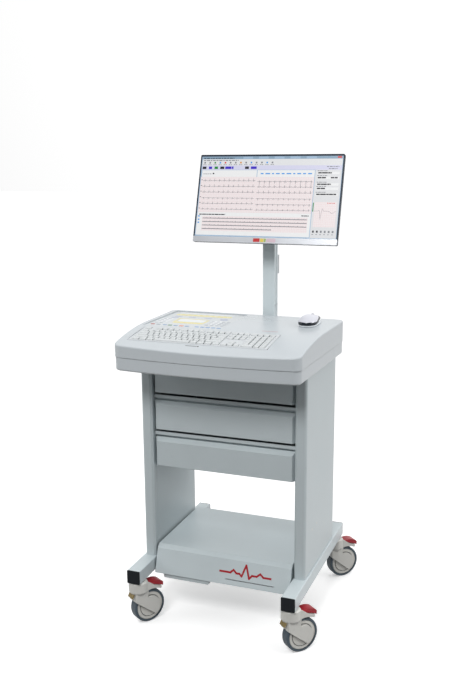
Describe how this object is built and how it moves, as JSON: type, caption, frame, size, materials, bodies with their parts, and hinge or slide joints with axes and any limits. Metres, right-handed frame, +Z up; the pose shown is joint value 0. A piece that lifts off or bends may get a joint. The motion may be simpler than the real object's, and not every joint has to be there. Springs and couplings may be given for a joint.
{
  "type": "ecg machine",
  "caption": "Cart-mounted resting ECG machine: desk console with built-in keyboard and key panel, tilted screen on a post, drawer stack, base housing, braked swivel castors.",
  "frame": {"origin": "centre of the whole object's footprint, on the floor", "axes": "+X to the right of a user who stands at the keyboard, -Y towards that user, +Z up"},
  "size_m": [0.5714, 0.6122, 1.3429],
  "materials": {
    "light_paint": "fine-textured satin powder coat, light grey",
    "dark_paint": "satin, mid grey",
    "desk_plastic": "smooth satin moulding, light grey",
    "membrane": "printed membrane overlay",
    "key_plastic": "light grey key caps",
    "dark_plastic": "matt, dark",
    "black_plastic": "matt black",
    "steel": "bright zinc",
    "bracket_steel": "satin grey",
    "core_iron": "varnished laminations",
    "circuit": "green board",
    "bezel": "silver-grey lower bar, thin dark sides",
    "monitor_shell": "textured dark plastic",
    "screen": "smooth display surface",
    "mouse_white": "gloss white",
    "mouse_silver": "satin silver",
    "scroll_rubber": "matt",
    "castor_grey": "moulded grey",
    "castor_disc": "warm light grey",
    "tyre_rubber": "smooth dark blue-grey tread",
    "brake_red": "gloss red"
  },
  "bodies": {
    "cart": {"left_rail": "light_paint", "right_rail": "light_paint", "rail_end_caps": "black_plastic", "base_crossbars": "dark_paint", "housing_cover": "light_paint", "housing_floor": "light_paint", "computer_unit": "steel", "isolation_transformer": "core_iron", "power_inlet": "black_plastic", "left_column": "light_paint", "right_column": "light_paint", "inner_panels": "light_paint", "panel_screws": "steel", "cabinet_back": "light_paint", "cabinet_crosspieces": "dark_paint", "drawer_guides": "steel", "desk_lower_shell": "desk_plastic", "desk_upper_shell": "desk_plastic", "control_panel": "membrane", "keyboard_base": "dark_plastic", "ecg_board": "circuit", "monitor_post": "light_paint", "post_brackets": "bracket_steel", "castor_stems": "steel"},
    "drawer_1": {"drawer_1_front": "light_paint", "drawer_1_tray": "light_paint"},
    "drawer_2": {"drawer_2_front": "light_paint", "drawer_2_tray": "light_paint"},
    "drawer_3": {"drawer_3_front": "light_paint", "drawer_3_tray": "light_paint"},
    "key_row_1": {"key_row_1": "key_plastic"},
    "key_row_2": {"key_row_2": "key_plastic"},
    "key_row_3": {"key_row_3": "key_plastic"},
    "key_row_4": {"key_row_4": "key_plastic"},
    "key_row_5": {"key_row_5": "key_plastic"},
    "key_row_6": {"key_row_6": "key_plastic"},
    "mouse": {"mouse_base": "mouse_white", "mouse_top": "mouse_silver"},
    "mouse_buttons": {"mouse_buttons": "mouse_silver"},
    "mouse_wheel": {"mouse_wheel": "scroll_rubber"},
    "monitor_carriage": {"tilt_bracket": "dark_paint"},
    "monitor": {"monitor_back": "monitor_shell", "monitor_bezel": "bezel", "lcd_panel": "screen"},
    "castor_fl": {"castor_fl_fork": "castor_grey"},
    "wheel_fl": {"castor_fl_wheel": "castor_disc", "castor_fl_tyre": "tyre_rubber"},
    "pedal_fl": {"castor_fl_pedal": "brake_red"},
    "castor_fr": {"castor_fr_fork": "castor_grey"},
    "wheel_fr": {"castor_fr_wheel": "castor_disc", "castor_fr_tyre": "tyre_rubber"},
    "pedal_fr": {"castor_fr_pedal": "brake_red"},
    "castor_rl": {"castor_rl_fork": "castor_grey"},
    "wheel_rl": {"castor_rl_wheel": "castor_disc", "castor_rl_tyre": "tyre_rubber"},
    "pedal_rl": {"castor_rl_pedal": "brake_red"},
    "castor_rr": {"castor_rr_fork": "castor_grey"},
    "wheel_rr": {"castor_rr_wheel": "castor_disc", "castor_rr_tyre": "tyre_rubber"},
    "pedal_rr": {"castor_rr_pedal": "brake_red"}
  },
  "joints": [
    {"name": "drawer_1_slide", "type": "slide", "parent": "cart", "child": "drawer_1", "axis": [0, -1, 0], "range_m": [0, 0.24]},
    {"name": "drawer_2_slide", "type": "slide", "parent": "cart", "child": "drawer_2", "axis": [0, -1, 0], "range_m": [0, 0.24]},
    {"name": "drawer_3_slide", "type": "slide", "parent": "cart", "child": "drawer_3", "axis": [0, -1, 0], "range_m": [0, 0.24]},
    {"name": "key_row_1_press", "type": "slide", "parent": "cart", "child": "key_row_1", "axis": [0, 0.1363, -0.9907], "range_m": [0, 0.002], "stiffness_N_per_m": 400, "springref_m": -0.002},
    {"name": "key_row_2_press", "type": "slide", "parent": "cart", "child": "key_row_2", "axis": [0, 0.1363, -0.9907], "range_m": [0, 0.002], "stiffness_N_per_m": 400, "springref_m": -0.002},
    {"name": "key_row_3_press", "type": "slide", "parent": "cart", "child": "key_row_3", "axis": [0, 0.1363, -0.9907], "range_m": [0, 0.002], "stiffness_N_per_m": 400, "springref_m": -0.002},
    {"name": "key_row_4_press", "type": "slide", "parent": "cart", "child": "key_row_4", "axis": [0, 0.1363, -0.9907], "range_m": [0, 0.002], "stiffness_N_per_m": 400, "springref_m": -0.002},
    {"name": "key_row_5_press", "type": "slide", "parent": "cart", "child": "key_row_5", "axis": [0, 0.1363, -0.9907], "range_m": [0, 0.002], "stiffness_N_per_m": 400, "springref_m": -0.002},
    {"name": "key_row_6_press", "type": "slide", "parent": "cart", "child": "key_row_6", "axis": [0, 0.1363, -0.9907], "range_m": [0, 0.002], "stiffness_N_per_m": 400, "springref_m": -0.002},
    {"name": "mouse_glide", "type": "slide", "parent": "cart", "child": "mouse", "axis": [1, 0, 0], "range_m": [-0.03, 0.03]},
    {"name": "mouse_button_press", "type": "slide", "parent": "mouse", "child": "mouse_buttons", "axis": [0, 0, -1], "range_m": [0, 0.0006], "stiffness_N_per_m": 600, "springref_m": -0.001},
    {"name": "mouse_wheel_spin", "type": "hinge", "parent": "mouse", "child": "mouse_wheel", "pos_m": [0.18873, 0.05188, 0.8868], "axis": [1, 0, 0], "continuous": true},
    {"name": "monitor_height", "type": "slide", "parent": "cart", "child": "monitor_carriage", "axis": [0, 0, 1], "range_m": [-0.1, 0.04]},
    {"name": "monitor_tilt", "type": "hinge", "parent": "monitor_carriage", "child": "monitor", "pos_m": [0.03773, 0.13007, 1.20579], "axis": [1, 0, 0], "range_deg": [-2, 22]},
    {"name": "castor_fl_swivel", "type": "hinge", "parent": "cart", "child": "castor_fl", "pos_m": [-0.24327, -0.24412, 0.12], "axis": [0, 0, 1], "continuous": true},
    {"name": "castor_fl_roll", "type": "hinge", "parent": "castor_fl", "child": "wheel_fl", "pos_m": [-0.22737, -0.21868, 0.05], "axis": [-0.848, 0.5299, 0], "continuous": true},
    {"name": "castor_fl_brake", "type": "hinge", "parent": "castor_fl", "child": "pedal_fl", "pos_m": [-0.23267, -0.22716, 0.113], "axis": [0.848, -0.5299, 0], "range_deg": [0, 15]},
    {"name": "castor_fr_swivel", "type": "hinge", "parent": "cart", "child": "castor_fr", "pos_m": [0.22073, -0.24412, 0.12], "axis": [0, 0, 1], "continuous": true},
    {"name": "castor_fr_roll", "type": "hinge", "parent": "castor_fr", "child": "wheel_fr", "pos_m": [0.24001, -0.22114, 0.05], "axis": [-0.766, 0.6428, 0], "continuous": true},
    {"name": "castor_fr_brake", "type": "hinge", "parent": "castor_fr", "child": "pedal_fr", "pos_m": [0.23359, -0.2288, 0.113], "axis": [0.766, -0.6428, 0], "range_deg": [0, 15]},
    {"name": "castor_rl_swivel", "type": "hinge", "parent": "cart", "child": "castor_rl", "pos_m": [-0.24327, 0.23588, 0.12], "axis": [0, 0, 1], "continuous": true},
    {"name": "castor_rl_roll", "type": "hinge", "parent": "castor_rl", "child": "wheel_rl", "pos_m": [-0.2248, 0.25952, 0.05], "axis": [-0.788, 0.6157, 0], "continuous": true},
    {"name": "castor_rl_brake", "type": "hinge", "parent": "castor_rl", "child": "pedal_rl", "pos_m": [-0.23096, 0.25164, 0.113], "axis": [0.788, -0.6157, 0], "range_deg": [0, 15]},
    {"name": "castor_rr_swivel", "type": "hinge", "parent": "cart", "child": "castor_rr", "pos_m": [0.22073, 0.23588, 0.12], "axis": [0, 0, 1], "continuous": true},
    {"name": "castor_rr_roll", "type": "hinge", "parent": "castor_rr", "child": "wheel_rr", "pos_m": [0.24194, 0.25709, 0.05], "axis": [-0.7071, 0.7071, 0], "continuous": true},
    {"name": "castor_rr_brake", "type": "hinge", "parent": "castor_rr", "child": "pedal_rr", "pos_m": [0.23487, 0.25002, 0.113], "axis": [0.7071, -0.7071, 0], "range_deg": [0, 15]}
  ]
}
